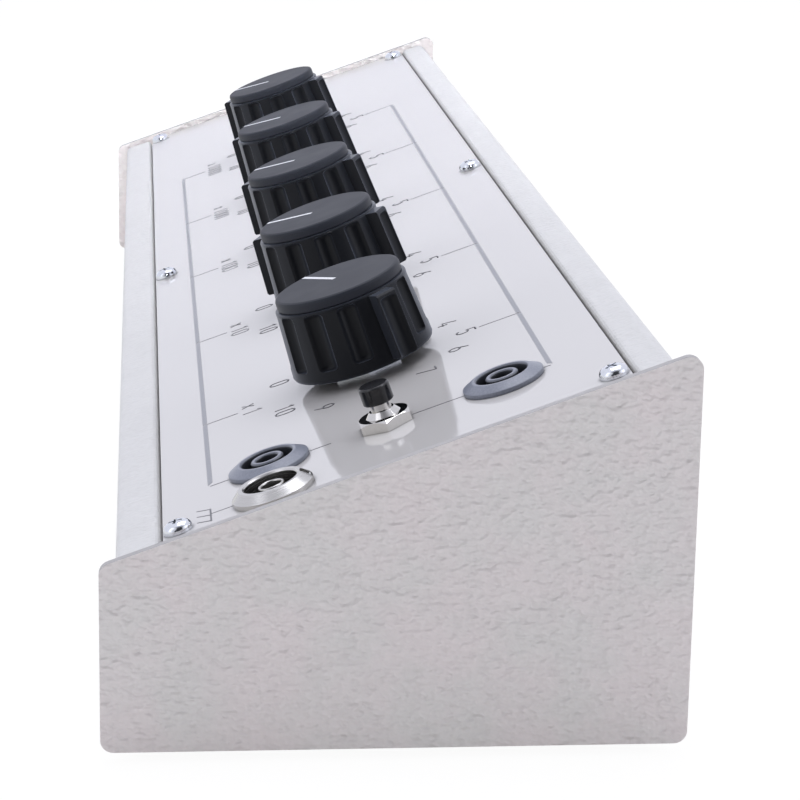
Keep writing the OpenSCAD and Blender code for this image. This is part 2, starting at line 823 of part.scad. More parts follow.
// Rings of a helix swept as a tube
module button_spring() {
    per = 12;
    n = spring_turns * per;
    low = button_wall - button_depth + spring_wire / 2;
    high = -chamber_top - collar_h - spring_wire / 2;
    ring = [for (k = [0:n], j = [0:5])
            let (a = k * 360 / per, b = j * 60, r = spring_r + spring_wire / 2 * cos(b))
            [r * cos(a), r * sin(a), low + (high - low) * k / n + spring_wire / 2 * sin(b)]];
    faces = concat([for (k = [0:n - 1], j = [0:5])
                    [k * 6 + j, k * 6 + (j + 1) % 6, (k + 1) * 6 + (j + 1) % 6, (k + 1) * 6 + j]],
                   [[5, 4, 3, 2, 1, 0]], [[for (j = [0:5]) n * 6 + j]]);
    color([0.7, 0.7, 0.7])
        on_panel()
            translate([sock_u, 0, 0])
                polyhedron(ring, faces, convexity = 8);
}

// Round wire along points
module wire(p) {
    for (i = [0:len(p) - 2])
        let (d = p[i + 1] - p[i])
            translate(p[i])
                rotate([0, acos(d.z / norm(d)), atan2(d.y, d.x)])
                    cylinder(h = norm(d), r = wire_r, $fn = 16);
    for (i = [1:1:len(p) - 2])
        translate(p[i])
            sphere(wire_r + eps, $fn = 16);
}

// Bus from the last board to a socket's tag, and its branch to the button, which meets pin and tag square
module bus(s) {
    z = -board_under - wire_r;
    tag_z = -sock_depth - stub_l - tag_l / 2;
    tag_v = sock_off - tag_w / 2;
    pin_z = -button_depth - button_pin.z + 1;
    pin_v = button_pin_v + button_pin.y / 2;
    far = knob_u(len(dial) - 1) - board_l / 2 + 4;
    near = knob_u(0) + board_l / 2 + 2;
    color([0.75, 0.76, 0.78])
        on_panel() {
            wire([[far, s * bus_v, z], [near, s * bus_v, z], [near + 6, s * sock_off, tag_z],
                  [sock_u - tag_t / 2, s * sock_off, tag_z]]);
            wire([[sock_u, s * pin_v, pin_z], [sock_u, s * (pin_v + lead_l), pin_z],
                  [sock_u, s * (tag_v - lead_l), tag_z], [sock_u, s * tag_v, tag_z]]);
        }
}

module front_bus() {
    bus(-1);
}

module rear_bus() {
    bus(1);
}

// From the chassis contact's tag to a lug under the nut of the foot beside it
module earth_wire() {
    start = side(-sock_off, -earth_depth - stub_l - tag_l / 2);
    low = foot_h + sheet_t;
    color([0.20, 0.55, 0.20]) {
        wire([[earth_u - tag_t / 2, start[0], start[1]], [earth_u - 4, start[0], start[1]],
              [foot_x, -foot_y + 7, low + wire_r + 3], [foot_x, -foot_y + 5, low + wire_r]]);
        translate([foot_x, -foot_y, low])
            difference() {
                union() {
                    cylinder(h = lug_t, r = 3.4);
                    translate([-1.5, 0, 0])
                        cube([3, 6, lug_t]);
                }
                translate([0, 0, -1])
                    cylinder(h = lug_t + 2, d = screw_d + 2 * hole_gap);
            }
    }
}

case_body();
left_end_plate();
right_end_plate();
control_panel();
panel_screws();
feet();
foot_screws();
foot_nuts();
knob_body(0);  // knob_body_1
knob_body(1);  // knob_body_2
knob_body(2);  // knob_body_3
knob_body(3);  // knob_body_4
knob_body(4);  // knob_body_5
knob_cap(0);  // knob_cap_1
knob_cap(1);  // knob_cap_2
knob_cap(2);  // knob_cap_3
knob_cap(3);  // knob_cap_4
knob_cap(4);  // knob_cap_5
knob_collet(0);  // knob_collet_1
knob_collet(1);  // knob_collet_2
knob_collet(2);  // knob_collet_3
knob_collet(3);  // knob_collet_4
knob_collet(4);  // knob_collet_5
switch_shaft(0);  // switch_shaft_1
switch_shaft(1);  // switch_shaft_2
switch_shaft(2);  // switch_shaft_3
switch_shaft(3);  // switch_shaft_4
switch_shaft(4);  // switch_shaft_5
switch_housing(0);  // switch_housing_1
switch_housing(1);  // switch_housing_2
switch_housing(2);  // switch_housing_3
switch_housing(3);  // switch_housing_4
switch_housing(4);  // switch_housing_5
decade_board(0);  // decade_board_1
decade_board(1);  // decade_board_2
decade_board(2);  // decade_board_3
decade_board(3);  // decade_board_4
decade_board(4);  // decade_board_5
capacitors(0);  // capacitors_1
capacitors(1);  // capacitors_2
capacitors(2);  // capacitors_3
capacitors(3);  // capacitors_4
capacitors(4);  // capacitors_5
switch_nuts();
front_socket();
rear_socket();
front_contact();
rear_contact();
chassis_socket();
chassis_contact();
socket_nuts();
button_bushing();
button_nut();
button_plunger();
button_cap();
button_spring();
front_bus();
rear_bus();
earth_wire();
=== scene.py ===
import math

import bmesh
import bpy
from mathutils import Matrix, Vector


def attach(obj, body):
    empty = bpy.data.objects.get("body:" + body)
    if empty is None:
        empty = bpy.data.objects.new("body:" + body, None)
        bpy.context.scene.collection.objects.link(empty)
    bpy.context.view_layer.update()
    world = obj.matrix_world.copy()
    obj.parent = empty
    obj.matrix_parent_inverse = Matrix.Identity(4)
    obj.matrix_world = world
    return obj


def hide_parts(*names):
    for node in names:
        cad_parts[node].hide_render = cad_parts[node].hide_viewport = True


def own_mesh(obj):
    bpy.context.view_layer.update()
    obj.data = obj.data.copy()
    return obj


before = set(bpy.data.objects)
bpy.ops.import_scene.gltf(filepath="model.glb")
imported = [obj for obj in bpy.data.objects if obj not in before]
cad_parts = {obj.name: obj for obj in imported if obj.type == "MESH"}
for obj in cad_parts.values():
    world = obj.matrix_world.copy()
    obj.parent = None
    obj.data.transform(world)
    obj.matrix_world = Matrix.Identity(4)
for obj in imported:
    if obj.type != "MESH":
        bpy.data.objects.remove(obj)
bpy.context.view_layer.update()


# Folded case: 1.2 mm sheet steel bent into base, walls and the narrow strips beside the panel.
# It is sprayed with a light grey paint that dries to a fine pebbled skin; painted shade darkens its creases and the
# hollows of its pebbles.
DRIFT_SCALE = 0.11
DRIFT_ENDS = (0.35, 0.65)
PEBBLE_STRETCH = (1, 0.7, 1.05)
PIT_ENDS = (0.24, 0.36)
PIT_DEPTH = 0.03
VALLEY_SHADE_ENDS = (0.27, 0.66)
CREASE_REACH = 0.0007


def new_finish(name):
    """A fresh material: its nodes, its shader, and the place on the piece that patterns follow."""
    mat = bpy.data.materials.new(name)
    mat.use_nodes = True
    tree = mat.node_tree
    place = tree.nodes.new("ShaderNodeTexCoord").outputs["Object"]
    return mat, tree, tree.nodes["Principled BSDF"], place


def speckle(tree, place, scale, detail=2):
    """Random speckle of an even size."""
    noise = tree.nodes.new("ShaderNodeTexNoise")
    noise.inputs["Scale"].default_value = scale
    noise.inputs["Detail"].default_value = detail
    tree.links.new(place, noise.inputs["Vector"])
    return noise.outputs["Fac"]


def two_tones(tree, amount, low, high, ends=(0, 1)):
    """Runs from one colour to another while the amount grows from end to end."""
    ramp = tree.nodes.new("ShaderNodeValToRGB")
    for stop, end, colour in zip(ramp.color_ramp.elements, ends, (low, high)):
        stop.position = end
        stop.color = (*colour, 1)
    tree.links.new(amount, ramp.inputs["Fac"])
    return ramp.outputs["Color"]


def rescaled(tree, amount, ends, results=(0, 1), smooth=False):
    """Brings an amount from one range into another and holds it there."""
    gauge = tree.nodes.new("ShaderNodeMapRange")
    if smooth:
        gauge.interpolation_type = "SMOOTHSTEP"
    for socket, value in zip(("From Min", "From Max", "To Min", "To Max"), (*ends, *results)):
        gauge.inputs[socket].default_value = value
    tree.links.new(amount, gauge.inputs["Value"])
    return gauge.outputs["Result"]


def reckoned(tree, rule, amount, other):
    """Joins an amount by a rule with another one, or with a plain number."""
    reckoner = tree.nodes.new("ShaderNodeMath")
    reckoner.operation = rule
    tree.links.new(amount, reckoner.inputs[0])
    if isinstance(other, float):
        reckoner.inputs[1].default_value = other
    else:
        tree.links.new(other, reckoner.inputs[1])
    return reckoner.outputs["Value"]


def darkened(tree, colour, amount):
    """A colour that is darker where the amount falls below one."""
    tone = tree.nodes.new("ShaderNodeHueSaturation")
    tree.links.new(colour, tone.inputs["Color"])
    tree.links.new(amount, tone.inputs["Value"])
    return tone.outputs["Color"]


def relief(tree, pattern, height, strength=1.0, over=None):
    """Raises a pattern out of the surface, or out of another relief."""
    bump = tree.nodes.new("ShaderNodeBump")
    bump.inputs["Strength"].default_value = strength
    bump.inputs["Distance"].default_value = height
    tree.links.new(pattern, bump.inputs["Height"])
    if over is not None:
        tree.links.new(over, bump.inputs["Normal"])
    return bump.outputs["Normal"]


def paint(name, colour, speck, rough, pebble, height, gloss=0.5, valley_shade=0.0, crease_shade=0.0):
    """Sprayed paint: it drifts towards a second colour and stands in pitted pebbles; painted shade darkens its
    pebbles' hollows and its creases.
    """
    mat, tree, skin, place = new_finish(name)
    drift = speckle(tree, place, scale=pebble * DRIFT_SCALE, detail=4)
    sag = tree.nodes.new("ShaderNodeMapping")
    sag.inputs["Scale"].default_value = PEBBLE_STRETCH
    tree.links.new(place, sag.inputs["Vector"])
    grain = speckle(tree, sag.outputs["Vector"], scale=pebble, detail=1)
    # Painted shade: the pebbles' low spots are darker, standing in for their shading.
    value = rescaled(tree, grain, VALLEY_SHADE_ENDS, results=(1 - valley_shade, 1))
    # Painted shade: the colour darkens in creases and where other parts stand close.
    if crease_shade:
        crease = tree.nodes.new("ShaderNodeAmbientOcclusion")
        crease.inputs["Distance"].default_value = CREASE_REACH
        value = reckoned(tree, "MULTIPLY", value, reckoned(tree, "POWER", crease.outputs["AO"], crease_shade))
    tint = two_tones(tree, drift, speck, colour, DRIFT_ENDS)
    tree.links.new(darkened(tree, tint, value), skin.inputs["Base Color"])
    pits = rescaled(tree, grain, PIT_ENDS, smooth=True)
    pebbles = relief(tree, grain, height)
    tree.links.new(relief(tree, pits, height * PIT_DEPTH, over=pebbles), skin.inputs["Normal"])
    skin.inputs["Roughness"].default_value = rough
    skin.inputs["Specular IOR Level"].default_value = gloss
    return mat


def finish_node(node, mat):
    """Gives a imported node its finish."""
    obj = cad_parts[node]
    obj.data.materials.clear()
    obj.data.materials.append(mat)
    return obj


case_paint = paint("case_paint", colour=(0.645, 0.64, 0.625), speck=(0.625, 0.62, 0.605), rough=0.5, pebble=900,
                   height=0.0003, gloss=0.25, valley_shade=0.04, crease_shade=2.0)
finish_node("case_body", case_paint)


# End plates: 2 mm steel, cut to the side profile with small round corners and welded to the case's tabs.
# Their paint is thicker, with a coarse orange-peel skin and painted shade in its pebbles' hollows; the cut edges take
# a darker copy of it as painted shade.
plate_paint = paint("plate_paint", colour=(0.86, 0.79, 0.755), speck=(0.82, 0.785, 0.74), rough=0.4, pebble=740,
                    height=0.001, valley_shade=0.03)
# Painted shade: a darker copy of the plate paint for the cut edges, which would otherwise read too bright.
edge_shade_paint = paint("edge_shade_paint", colour=(0.44, 0.43, 0.425), speck=(0.41, 0.40, 0.395), rough=0.6, pebble=640,
                   height=0.0003, gloss=0.08)
FLAT_FACE = 0.7
for side in ("left", "right"):
    plate = finish_node(side + "_end_plate", plate_paint)
    plate.data.materials.append(edge_shade_paint)
    for face in plate.data.polygons:
        is_edge = abs(face.normal.x) < FLAT_FACE
        face.material_index = 1 if is_edge else 0


# Control panel: a flat 2 mm plate that lies on the case's joggled ledges and carries all that is worked by hand.
# Its paint is smooth, glossy and very light grey, and mirrors what stands on it.
# Painted shade darkens its colour in the creases round the parts that stand on it.
panel_paint = paint("panel_paint", colour=(0.55, 0.535, 0.52), speck=(0.54, 0.525, 0.51), rough=0.06, pebble=60,
                    height=0.000004, gloss=0.85, crease_shade=1.0)
finish_node("control_panel", panel_paint)


# Printed circuit drawing: screen-printed in two greys on the panel's paint, as the plain diagram of a decade box.
# Two thick rails run past the knobs, in lengths with slanting ends. Thin lines lead from them to each dial,
# to the sockets and to the button, and an earth sign stands in front of the chassis socket.
BOX_DEPTH, REAR_RISE = 0.110, 0.040
SLOPE = math.atan2(REAR_RISE, BOX_DEPTH)
PANEL_Z = 0.0564039
to_panel = Matrix.Translation((0, 0, PANEL_Z)) @ Matrix.Rotation(SLOPE, 4, "X")
KNOBS_X = [0.162, 0.087, 0.012, -0.063, -0.138]
SOCKETS_X = 0.209
INK_HEIGHT = 0.00004
INK_PATCHES = 2500
INK_TONES = (0.85, 1.15)
INK_ROUGH = 0.3
SHARP_EDGE = math.radians(32)


def uneven(tree, amount, colour, tones, ends=(0, 1)):
    """One colour that goes from a darker tone to a lighter one."""
    low, high = ([c * tone for c in colour] for tone in tones)
    return two_tones(tree, amount, low, high, ends)


def ink(name, colour):
    """Screen ink: a little uneven in tone, with a dull surface."""
    mat, tree, skin, place = new_finish(name)
    patch = speckle(tree, place, scale=INK_PATCHES)
    tree.links.new(uneven(tree, patch, colour, INK_TONES), skin.inputs["Base Color"])
    skin.inputs["Roughness"].default_value = INK_ROUGH
    return mat


line_ink = ink("line_ink", colour=(0.07, 0.07, 0.08))
rail_ink = ink("rail_ink", colour=(0.24, 0.245, 0.265))


def add_piece(name, bm, mat, body="box", smooth=False):
    """Turns a finished bmesh into a piece that rides on a body."""
    mesh = bpy.data.meshes.new(name)
    bm.to_mesh(mesh)
    bm.free()
    mesh.materials.append(mat)
    if smooth:
        mesh.shade_smooth()
        mesh.set_sharp_from_angle(angle=SHARP_EDGE)
    obj = bpy.data.objects.new(name, mesh)
    bpy.context.scene.collection.objects.link(obj)
    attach(obj, body)
    return obj


def add_bar(bm, u0, v0, u1, v1, width):
    """A flat printed bar from one point of the panel to another."""
    run = Vector((u1 - u0, v1 - v0, 0))
    turn = Matrix.Rotation(math.atan2(run.y, run.x), 4, "Z")
    size = Matrix.Diagonal((run.length, width, INK_HEIGHT, 1))
    middle = Matrix.Translation(((u0 + u1) / 2, (v0 + v1) / 2, INK_HEIGHT / 2))
    return bmesh.ops.create_cube(bm, size=1, matrix=middle @ turn @ size)["verts"]


RAIL_FRONT_V, RAIL_REAR_V = -0.0361, 0.0336
RAIL_WIDTH = 0.00095
RAIL_START_X = SOCKETS_X - 0.0015
RAIL_BREAK_X = 0.0006
RAIL_GAP, RAIL_SLANT = 0.0009, 0.0007
breaks = [RAIL_START_X] + [x + RAIL_BREAK_X for x in KNOBS_X]
bm = bmesh.new()
for side, rail_v in ((-1, RAIL_FRONT_V), (1, RAIL_REAR_V)):
    for near, far in zip(breaks, breaks[1:]):
        bar = add_bar(bm, near - RAIL_GAP / 2, rail_v, far + RAIL_GAP / 2, rail_v, RAIL_WIDTH)
        for vert in bar:
            is_outer = (vert.co.y - rail_v) * side > 0
            vert.co.x += RAIL_SLANT if is_outer else -RAIL_SLANT
bmesh.ops.transform(bm, matrix=to_panel, verts=bm.verts)
add_piece("printed_rails", bm, rail_ink)

LINE_WIDTH = 0.00026
DIAL_LEADS = ((0.0008, RAIL_FRONT_V, -0.0288), (0.0004, 0.0248, RAIL_REAR_V))
SOCKET_LEAD_X = SOCKETS_X - 0.0004
SOCKET_LEADS = ((RAIL_FRONT_V, -0.0319), (-0.0161, -0.0114), (0.0052, 0.0161), (0.0319, RAIL_REAR_V))
EARTH_V = -0.0365
EARTH_LEFT_X, EARTH_RIGHT_X, EARTH_BAR_WIDTH = 0.2233, 0.2311, 0.0003
EARTH_STEM_X, EARTH_STEM_V, EARTH_STEM_WIDTH = 0.2265, -0.0320, 0.0002
EARTH_TICKS_X = (0.2236, 0.2272, 0.2308)
EARTH_TICK_LEAN, EARTH_TICK_DROP = 0.0015, 0.0027
bm = bmesh.new()
for x in KNOBS_X:
    for lead_x, low_v, high_v in DIAL_LEADS:
        add_bar(bm, x + lead_x, low_v, x + lead_x, high_v, LINE_WIDTH)
for low_v, high_v in SOCKET_LEADS:
    add_bar(bm, SOCKET_LEAD_X, low_v, SOCKET_LEAD_X, high_v, LINE_WIDTH)
add_bar(bm, EARTH_LEFT_X, EARTH_V, EARTH_RIGHT_X, EARTH_V, EARTH_BAR_WIDTH)
add_bar(bm, EARTH_STEM_X, EARTH_V, EARTH_STEM_X, EARTH_STEM_V, EARTH_STEM_WIDTH)
for x in EARTH_TICKS_X:
    add_bar(bm, x, EARTH_V, x - EARTH_TICK_LEAN, EARTH_V - EARTH_TICK_DROP, LINE_WIDTH)
bmesh.ops.transform(bm, matrix=to_panel, verts=bm.verts)
add_piece("printed_lines", bm, line_ink)


# Dial figures: 0 to 10 round each knob and a plain multiplier in front of it, screen-printed like the drawing.
# The strokes are thin and even, with round turns; each figure is set down for a height of 1.
FIGURE_HEIGHT = 0.0041
FIGURE_WIDTH, SPACE_WIDTH, FIGURE_GAP = 0.56, 0.27, 0.22
STROKE_WIDTH = 0.0004
STROKE_LIFT = 0.9
SAME_PLACE = 1e-7


def bow(x, y, rx, ry, start, stop, steps=12):
    """Points along part of an oval."""
    turn = [math.radians(start + (stop - start) * i / steps) for i in range(steps + 1)]
    return [(x + rx * math.cos(a), y + ry * math.sin(a)) for a in turn]


FIGURES = {
    "0": [bow(0.27, 0.73, 0.27, 0.27, 0, 180) + bow(0.27, 0.27, 0.27, 0.27, 180, 360) + [(0.54, 0.73)]],
    "1": [[(0.02, 0.80), (0.27, 1.0), (0.27, 0.0)]],
    "2": [bow(0.27, 0.74, 0.26, 0.26, 165, -35) + [(0.0, 0.0), (0.54, 0.0)]],
    "3": [bow(0.26, 0.76, 0.24, 0.24, 150, -90) + bow(0.26, 0.27, 0.28, 0.27, 90, -150)],
    "4": [[(0.30, 1.0), (0.0, 0.27), (0.56, 0.27)], [(0.40, 0.52), (0.40, 0.0)]],
    "5": [[(0.50, 1.0), (0.08, 1.0), (0.05, 0.54)] + bow(0.26, 0.31, 0.28, 0.31, 125, -145)],
    "6": [[(0.40, 1.0), (0.03, 0.40)] + bow(0.27, 0.28, 0.27, 0.28, 155, 515, 18)],
    "7": [[(0.0, 1.0), (0.54, 1.0), (0.18, 0.0)]],
    "8": [bow(0.27, 0.77, 0.21, 0.23, -90, 270, 16), bow(0.27, 0.27, 0.27, 0.27, 90, 450, 18)],
    "9": [[(0.14, 0.0), (0.51, 0.60)] + bow(0.27, 0.72, 0.27, 0.28, -25, 335, 18)],
    "x": [[(0.02, 0.0), (0.46, 0.62)], [(0.46, 0.0), (0.02, 0.62)]],
    " ": [],
}


def add_figures(curve, words, u, v):
    """Writes figures on a curve, centred on a point of the panel."""
    wide = [SPACE_WIDTH if letter == " " else FIGURE_WIDTH for letter in words]
    left = -(sum(wide) + FIGURE_GAP * (len(words) - 1)) / 2
    for letter, width in zip(words, wide):
        for stroke in FIGURES[letter]:
            spline = curve.splines.new("POLY")
            spline.points.add(len(stroke) - 1)
            for point, (x, y) in zip(spline.points, stroke):
                point.co = (u + (left + x) * FIGURE_HEIGHT, v + (y - 0.5) * FIGURE_HEIGHT, 0, 1)
        left += width + FIGURE_GAP


def print_strokes(name, curve, mat):
    """Makes the strokes a thin closed skin of ink on the panel."""
    curve.dimensions = "3D"
    curve.bevel_depth = STROKE_WIDTH / 2
    curve.bevel_resolution = 0
    curve.use_fill_caps = True
    pen = bpy.data.objects.new(name + "_pen", curve)
    bm = bmesh.new()
    bm.from_mesh(pen.to_mesh())
    bpy.data.objects.remove(pen)
    bpy.data.curves.remove(curve)
    bmesh.ops.remove_doubles(bm, verts=bm.verts, dist=SAME_PLACE)
    bmesh.ops.recalc_face_normals(bm, faces=bm.faces)
    bmesh.ops.scale(bm, vec=(1, 1, 2 * INK_HEIGHT / STROKE_WIDTH), verts=bm.verts)
    bmesh.ops.translate(bm, vec=(0, 0, INK_HEIGHT * STROKE_LIFT), verts=bm.verts)
    bmesh.ops.transform(bm, matrix=to_panel, verts=bm.verts)
    add_piece(name, bm, mat)


DIAL_STEPS, STEP_TURN = 10, 30
DIAL_REACH_X, DIAL_REACH_V = 0.0227, 0.0219
MULTIPLIER_X, MULTIPLIER_V = 0.0008, -0.0257
pale_ink = ink("pale_ink", colour=(0.30, 0.30, 0.31))
powers = bpy.data.curves.new("multiplier_strokes", "CURVE")
for number, x in enumerate(KNOBS_X, 1):
    figures = bpy.data.curves.new("dial_%d_strokes" % number, "CURVE")
    for figure in range(DIAL_STEPS + 1):
        turn = math.radians((figure - DIAL_STEPS / 2) * STEP_TURN)
        add_figures(figures, str(figure), x + DIAL_REACH_X * math.sin(turn), DIAL_REACH_V * math.cos(turn))
    add_figures(powers, "x 1" + "0" * (number - 1), x + MULTIPLIER_X, MULTIPLIER_V)
    print_strokes("dial_%d_figures" % number, figures, line_ink)
print_strokes("dial_multipliers", powers, pale_ink)


# Panel screws: zinc-plated M3 pan heads with a cross recess, driven through the panel into the ledges.
# Head and shank are turned in one piece, and the cross is punched in with tapered wings.
MARK_SCALE, RING_SCALE = 1800, 7000
MARK_TONES = (0.88, 1)
MARK_ROUGH = (0.7, 1.4)
MARK_HEIGHT = 0.00002


def metal(name, colour, rough, scratch, axis_at=None):
    """Plated or machined metal; with an axis, its tool marks run round that axis."""
    mat, tree, skin, place = new_finish(name)
    nodes, links = tree.nodes, tree.links
    skin.inputs["Metallic"].default_value = 1
    if axis_at is None:
        marks = speckle(tree, place, scale=MARK_SCALE, detail=3)
    else:
        centre = nodes.new("ShaderNodeMapping")
        centre.vector_type = "TEXTURE"
        centre.inputs["Location"].default_value = axis_at
        centre.inputs["Rotation"].default_value = (SLOPE, 0, 0)
        links.new(place, centre.inputs["Vector"])
        split = nodes.new("ShaderNodeSeparateXYZ")
        links.new(centre.outputs["Vector"], split.inputs["Vector"])
        flat = nodes.new("ShaderNodeCombineXYZ")
        links.new(split.outputs["X"], flat.inputs["X"])
        links.new(split.outputs["Y"], flat.inputs["Y"])
        radius = nodes.new("ShaderNodeVectorMath")
        radius.operation = "LENGTH"
        links.new(flat.outputs["Vector"], radius.inputs[0])
        ring = nodes.new("ShaderNodeCombineXYZ")
        links.new(radius.outputs["Value"], ring.inputs["X"])
        links.new(split.outputs["Z"], ring.inputs["Y"])
        marks = speckle(tree, ring.outputs["Vector"], scale=RING_SCALE, detail=3)
    links.new(uneven(tree, marks, colour, MARK_TONES), skin.inputs["Base Color"])
    dull = rescaled(tree, marks, (0, 1), results=[rough * share for share in MARK_ROUGH])
    links.new(dull, skin.inputs["Roughness"])
    links.new(relief(tree, marks, MARK_HEIGHT, strength=scratch), skin.inputs["Normal"])
    return mat


zinc = metal("zinc_plate", colour=(0.72, 0.74, 0.78), rough=0.16, scratch=0.15)
SCREW_X, SCREW_V = 0.230, 0.0429
HEAD_TOP = 0.0021
HEAD_PROFILE = [(0, HEAD_TOP), (0.00115, 0.00208), (0.0018, 0.0019), (0.00235, 0.00158), (0.0027, 0.00115),
                (0.00285, 0.0007), (0.00282, 0.0), (0.00145, 0.0), (0.00145, -0.008), (0, -0.008)]
HEAD_TURNS = (20, 65, 10, 50, 80, 35)
LATHE_STEPS = 48
CROSS_SIZE = (0.0031, 0.00062, 0.0016)
CROSS_TAPER_LENGTH, CROSS_TAPER_WIDTH = 0.45, 0.7
CROSS_SINK = 0.0006


def spin_profile(bm, profile):
    """Turns a half outline about Z into a closed solid."""
    verts = [bm.verts.new((r, 0, z)) for r, z in profile]
    edges = [bm.edges.new(pair) for pair in zip(verts, verts[1:])]
    bmesh.ops.spin(bm, geom=verts + edges, axis=(0, 0, 1), cent=(0, 0, 0), steps=LATHE_STEPS, angle=math.tau,
                   use_merge=True, use_duplicate=False)
    bmesh.ops.remove_doubles(bm, verts=bm.verts, dist=SAME_PLACE)
    bmesh.ops.recalc_face_normals(bm, faces=bm.faces)


def cut_cross(bm):
    """Sinks a cross recess with tapered wings into a screw head."""
    head = bpy.data.meshes.new("head_blank")
    bm.to_mesh(head)
    cutter_bm = bmesh.new()
    for turn in (0, math.pi / 2):
        wing = bmesh.ops.create_cube(cutter_bm, size=1, matrix=Matrix.Diagonal((*CROSS_SIZE, 1)))["verts"]
        for vert in wing:
            if vert.co.z < 0:
                vert.co.x *= CROSS_TAPER_LENGTH
                vert.co.y *= CROSS_TAPER_WIDTH
        bmesh.ops.rotate(cutter_bm, cent=(0, 0, 0), matrix=Matrix.Rotation(turn, 3, "Z"), verts=wing)
    bmesh.ops.translate(cutter_bm, vec=(0, 0, HEAD_TOP - CROSS_SINK), verts=cutter_bm.verts)
    cutter = bpy.data.meshes.new("cross_cutter")
    cutter_bm.to_mesh(cutter)
    cutter_bm.free()
    head_obj = bpy.data.objects.new("head_blank", head)
    cutter_obj = bpy.data.objects.new("cross_cutter", cutter)
    for obj in (head_obj, cutter_obj):
        bpy.context.scene.collection.objects.link(obj)
    cut = head_obj.modifiers.new("cross", "BOOLEAN")
    cut.object = cutter_obj
    cut.solver = "EXACT"
    cut.use_self = True
    bpy.context.view_layer.update()
    done = bpy.data.meshes.new_from_object(head_obj.evaluated_get(bpy.context.evaluated_depsgraph_get()))
    bm.clear()
    bm.from_mesh(done)
    for obj in (head_obj, cutter_obj):
        bpy.data.objects.remove(obj)
    for mesh in (head, cutter, done):
        bpy.data.meshes.remove(mesh)


one = bmesh.new()
spin_profile(one, HEAD_PROFILE)
cut_cross(one)
screw_mesh = bpy.data.meshes.new("one_screw")
one.to_mesh(screw_mesh)
one.free()
screw_places = [(x, v) for x in (-SCREW_X, 0, SCREW_X) for v in (-SCREW_V, SCREW_V)]
bm = bmesh.new()
for (x, v), degrees in zip(screw_places, HEAD_TURNS):
    seen = len(bm.verts)
    bm.from_mesh(screw_mesh)
    bm.verts.ensure_lookup_table()
    place = to_panel @ Matrix.Translation((x, v, 0)) @ Matrix.Rotation(math.radians(degrees), 4, "Z")
    bmesh.ops.transform(bm, matrix=place, verts=bm.verts[seen:])
bpy.data.meshes.remove(screw_mesh)
screws = add_piece("panel_screw_set", bm, zinc, smooth=True)
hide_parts("panel_screws")


# Knobs: moulded in charcoal plastic with pocket-shaped finger flutes, each with a separate satin grey cap.
# A brass collet inside grips the shaft, and a white pointer line is printed on the cap.
# The moulding has a fine spark-eroded grain, and a little dust gives it a pale sheen.
TINT_TONES, TINT_ENDS = (0.9, 1.1), (0.3, 0.7)
HANDLED_PATCHES = 120
HANDLED_ROUGH = (0.85, 1.15)
GRAIN_STRENGTH = 0.5
DUST_TINT = (0.74, 0.82, 1.0)


def moulding(name, colour, rough, grain, depth, edge=0.00025, gloss=0.5, shade=0.0, reach=0.003, dust=0.0):
    """Moulded plastic with a fine grain; its edges read slightly rounded, and painted shade darkens its hollows where
    asked.
    """
    mat, tree, skin, place = new_finish(name)
    fine = speckle(tree, place, scale=grain)
    tint = uneven(tree, fine, colour, TINT_TONES, TINT_ENDS)
    # Painted shade: the colour darkens in the piece's own hollows.
    if shade:
        hollow = tree.nodes.new("ShaderNodeAmbientOcclusion")
        hollow.inputs["Distance"].default_value = reach
        hollow.only_local = True
        tint = darkened(tree, tint, reckoned(tree, "POWER", hollow.outputs["AO"], shade))
    tree.links.new(tint, skin.inputs["Base Color"])
    skin.inputs["Specular IOR Level"].default_value = gloss
    skin.inputs["Sheen Weight"].default_value = dust
    skin.inputs["Sheen Tint"].default_value = (*DUST_TINT, 1)
    handled = speckle(tree, place, scale=HANDLED_PATCHES)
    dull = rescaled(tree, handled, (0, 1), results=[rough * share for share in HANDLED_ROUGH])
    tree.links.new(dull, skin.inputs["Roughness"])
    soft = tree.nodes.new("ShaderNodeBevel")
    soft.inputs["Radius"].default_value = edge
    grained = relief(tree, fine, depth, strength=GRAIN_STRENGTH, over=soft.outputs["Normal"])
    tree.links.new(grained, skin.inputs["Normal"])
    return mat


# A faint painted shade darkens the knobs' flutes.
knob_plastic = moulding("knob_plastic", colour=(0.006, 0.0065, 0.008), rough=0.24, grain=5000, depth=0.00001,
                        gloss=0.13, shade=0.1, dust=0.24)
cap_plastic = moulding("cap_plastic", colour=(0.026, 0.029, 0.038), rough=0.5, grain=6000, depth=0.00001, gloss=0.2)
collet_brass = metal("collet_brass", colour=(0.72, 0.55, 0.25), rough=0.25, scratch=0.2)
white_ink = ink("white_ink", colour=(0.75, 0.76, 0.78))
CAP_TOP = 0.01995
POINTER_MIDDLE, POINTER_LENGTH, POINTER_WIDTH = 0.00675, 0.0123, 0.00095
POINTER_AT_ZERO = 240
DIAL_AT_REST = (1, 0, 0, 0, 0)
for number, (x, reading) in enumerate(zip(KNOBS_X, DIAL_AT_REST), 1):
    finish_node("knob_body_%d" % number, knob_plastic)
    finish_node("knob_cap_%d" % number, cap_plastic)
    finish_node("knob_collet_%d" % number, collet_brass)
    bm = bmesh.new()
    middle = Matrix.Translation((POINTER_MIDDLE, 0, INK_HEIGHT / 2))
    size = Matrix.Diagonal((POINTER_LENGTH, POINTER_WIDTH, INK_HEIGHT, 1))
    bmesh.ops.create_cube(bm, size=1, matrix=middle @ size)
    turn = Matrix.Rotation(math.radians(POINTER_AT_ZERO - STEP_TURN * reading), 4, "Z")
    bmesh.ops.transform(bm, matrix=to_panel @ Matrix.Translation((x, 0, CAP_TOP)) @ turn, verts=bm.verts)
    add_piece("knob_%d_pointer" % number, bm, white_ink, body="knob_%d" % number)


